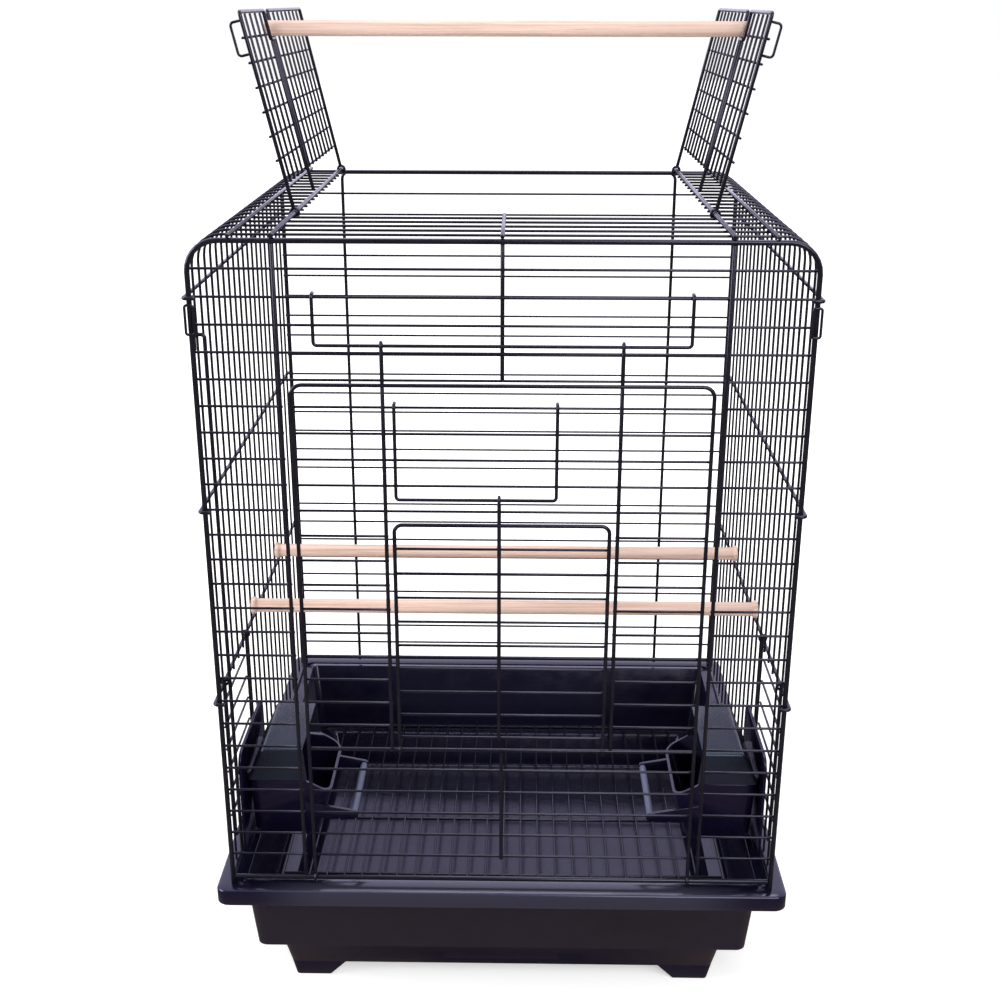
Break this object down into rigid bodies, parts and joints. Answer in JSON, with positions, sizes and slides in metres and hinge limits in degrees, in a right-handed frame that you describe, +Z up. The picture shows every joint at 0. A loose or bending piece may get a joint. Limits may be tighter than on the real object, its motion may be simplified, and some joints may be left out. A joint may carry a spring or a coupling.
{
  "type": "parrot cage",
  "caption": "Wire parrot cage with an opening roof, play perch, drop-down front door with a smaller door in it, side feeders and a moulded plastic base.",
  "frame": {"origin": "bottom centre, where the base's feet stand", "axes": "+Z up, front door towards -Y, +X to the right seen from the front"},
  "size_m": [0.466, 0.426, 0.7996],
  "materials": {
    "black_wire": "satin powder coat",
    "black_plastic": "glossy moulded",
    "bowl_plastic": "glossy moulded",
    "smoked_plastic": "smoked, semi-gloss",
    "grey_plastic": "matt",
    "wood": "sanded, unvarnished"
  },
  "bodies": {
    "base": {"base_rim": "black_plastic", "base_tub": "black_plastic", "base_pan": "black_plastic", "base_feet": "black_plastic", "grille_ring": "black_wire", "floor_grille": "black_wire"},
    "wire_body": {"front_frame": "black_wire", "back_frame": "black_wire", "bottom_rails": "black_wire", "front_rows_upper": "black_wire", "front_rows_left": "black_wire", "front_rows_right": "black_wire", "front_posts": "black_wire", "back_rows": "black_wire", "back_hoops": "black_wire", "right_side_wires": "black_wire", "left_side_wires": "black_wire", "roof_hoops": "black_wire", "right_side_supports": "black_wire", "left_side_supports": "black_wire", "right_corner_clip": "black_wire", "left_corner_clip": "black_wire", "left_side_post": "black_wire", "roof_edge_wires": "black_wire", "roof_depth_wires": "black_wire", "rear_perch": "wood", "middle_perch": "wood"},
    "large_door": {"large_door_frame": "black_wire", "large_door_sill": "black_wire", "large_door_upper_rows": "black_wire", "large_door_lower_rows": "black_wire", "large_door_left_rows": "black_wire", "large_door_right_rows": "black_wire", "large_door_left_upright": "black_wire", "large_door_right_upright": "black_wire", "large_door_lower_post": "black_wire"},
    "large_latch": {"large_door_latch": "black_wire"},
    "small_door": {"small_door_frame": "black_wire", "small_door_rows": "black_wire", "small_door_post": "black_wire"},
    "small_latch": {"small_door_latch": "black_wire"},
    "left_flap": {"left_flap_frame": "black_wire", "left_flap_rows": "black_wire", "left_flap_columns": "black_wire", "left_flap_pull": "black_wire"},
    "right_flap": {"right_flap_frame": "black_wire", "right_flap_rows": "black_wire", "right_flap_columns": "black_wire", "right_flap_pull": "black_wire"},
    "play_perch": {"play_perch": "wood"},
    "left_feeder": {"left_feeder_cup": "bowl_plastic", "left_feeder_hood": "smoked_plastic", "left_feeder_perch": "grey_plastic"},
    "right_feeder": {"right_feeder_cup": "bowl_plastic", "right_feeder_hood": "smoked_plastic", "right_feeder_perch": "grey_plastic"},
    "left_feeder_door": {"left_feeder_door_frame": "black_wire", "left_feeder_door_rows": "black_wire"},
    "right_feeder_door": {"right_feeder_door_frame": "black_wire", "right_feeder_door_rows": "black_wire"}
  },
  "joints": [
    {"name": "body_lift", "type": "slide", "parent": "base", "child": "wire_body", "axis": [0, 0, 1], "range_m": [0, 0.3]},
    {"name": "large_door_hinge", "type": "hinge", "parent": "wire_body", "child": "large_door", "pos_m": [0, -0.2, 0.13], "axis": [1, 0, 0], "range_deg": [0, 100]},
    {"name": "large_latch_hinge", "type": "hinge", "parent": "large_door", "child": "large_latch", "pos_m": [0, -0.2002, 0.576], "axis": [1, 0, 0], "range_deg": [0, 165]},
    {"name": "small_door_hinge", "type": "hinge", "parent": "large_door", "child": "small_door", "pos_m": [0, -0.2, 0.25], "axis": [1, 0, 0], "range_deg": [0, 100]},
    {"name": "small_latch_hinge", "type": "hinge", "parent": "small_door", "child": "small_latch", "pos_m": [0, -0.2002, 0.46], "axis": [1, 0, 0], "range_deg": [0, 150]},
    {"name": "left_flap_hinge", "type": "hinge", "parent": "wire_body", "child": "left_flap", "pos_m": [-0.16, 0, 0.6538], "axis": [0, 1, 0], "range_deg": [0, 103]},
    {"name": "right_flap_hinge", "type": "hinge", "parent": "wire_body", "child": "right_flap", "pos_m": [0.16, 0, 0.6538], "axis": [0, -1, 0], "range_deg": [0, 103]},
    {"name": "play_perch_lift", "type": "slide", "parent": "wire_body", "child": "play_perch", "axis": [0, 0, 1], "range_m": [0, 0.2]},
    {"name": "left_feeder_lift", "type": "slide", "parent": "wire_body", "child": "left_feeder", "axis": [0, 0, 1], "range_m": [0, 0.05]},
    {"name": "right_feeder_lift", "type": "slide", "parent": "wire_body", "child": "right_feeder", "axis": [0, 0, 1], "range_m": [0, 0.05]},
    {"name": "left_feeder_door_hinge", "type": "hinge", "parent": "wire_body", "child": "left_feeder_door", "pos_m": [-0.22352, 0, 0.29], "axis": [0, 1, 0], "range_deg": [0, 110]},
    {"name": "right_feeder_door_hinge", "type": "hinge", "parent": "wire_body", "child": "right_feeder_door", "pos_m": [0.22352, 0, 0.29], "axis": [0, -1, 0], "range_deg": [0, 110]}
  ],
  "couplings": [
    {"joint": "right_flap_hinge", "follows": "left_flap_hinge", "ratio": 1},
    {"joint": "play_perch_lift", "follows": "left_flap_hinge", "m_per_rad": 0.1}
  ]
}
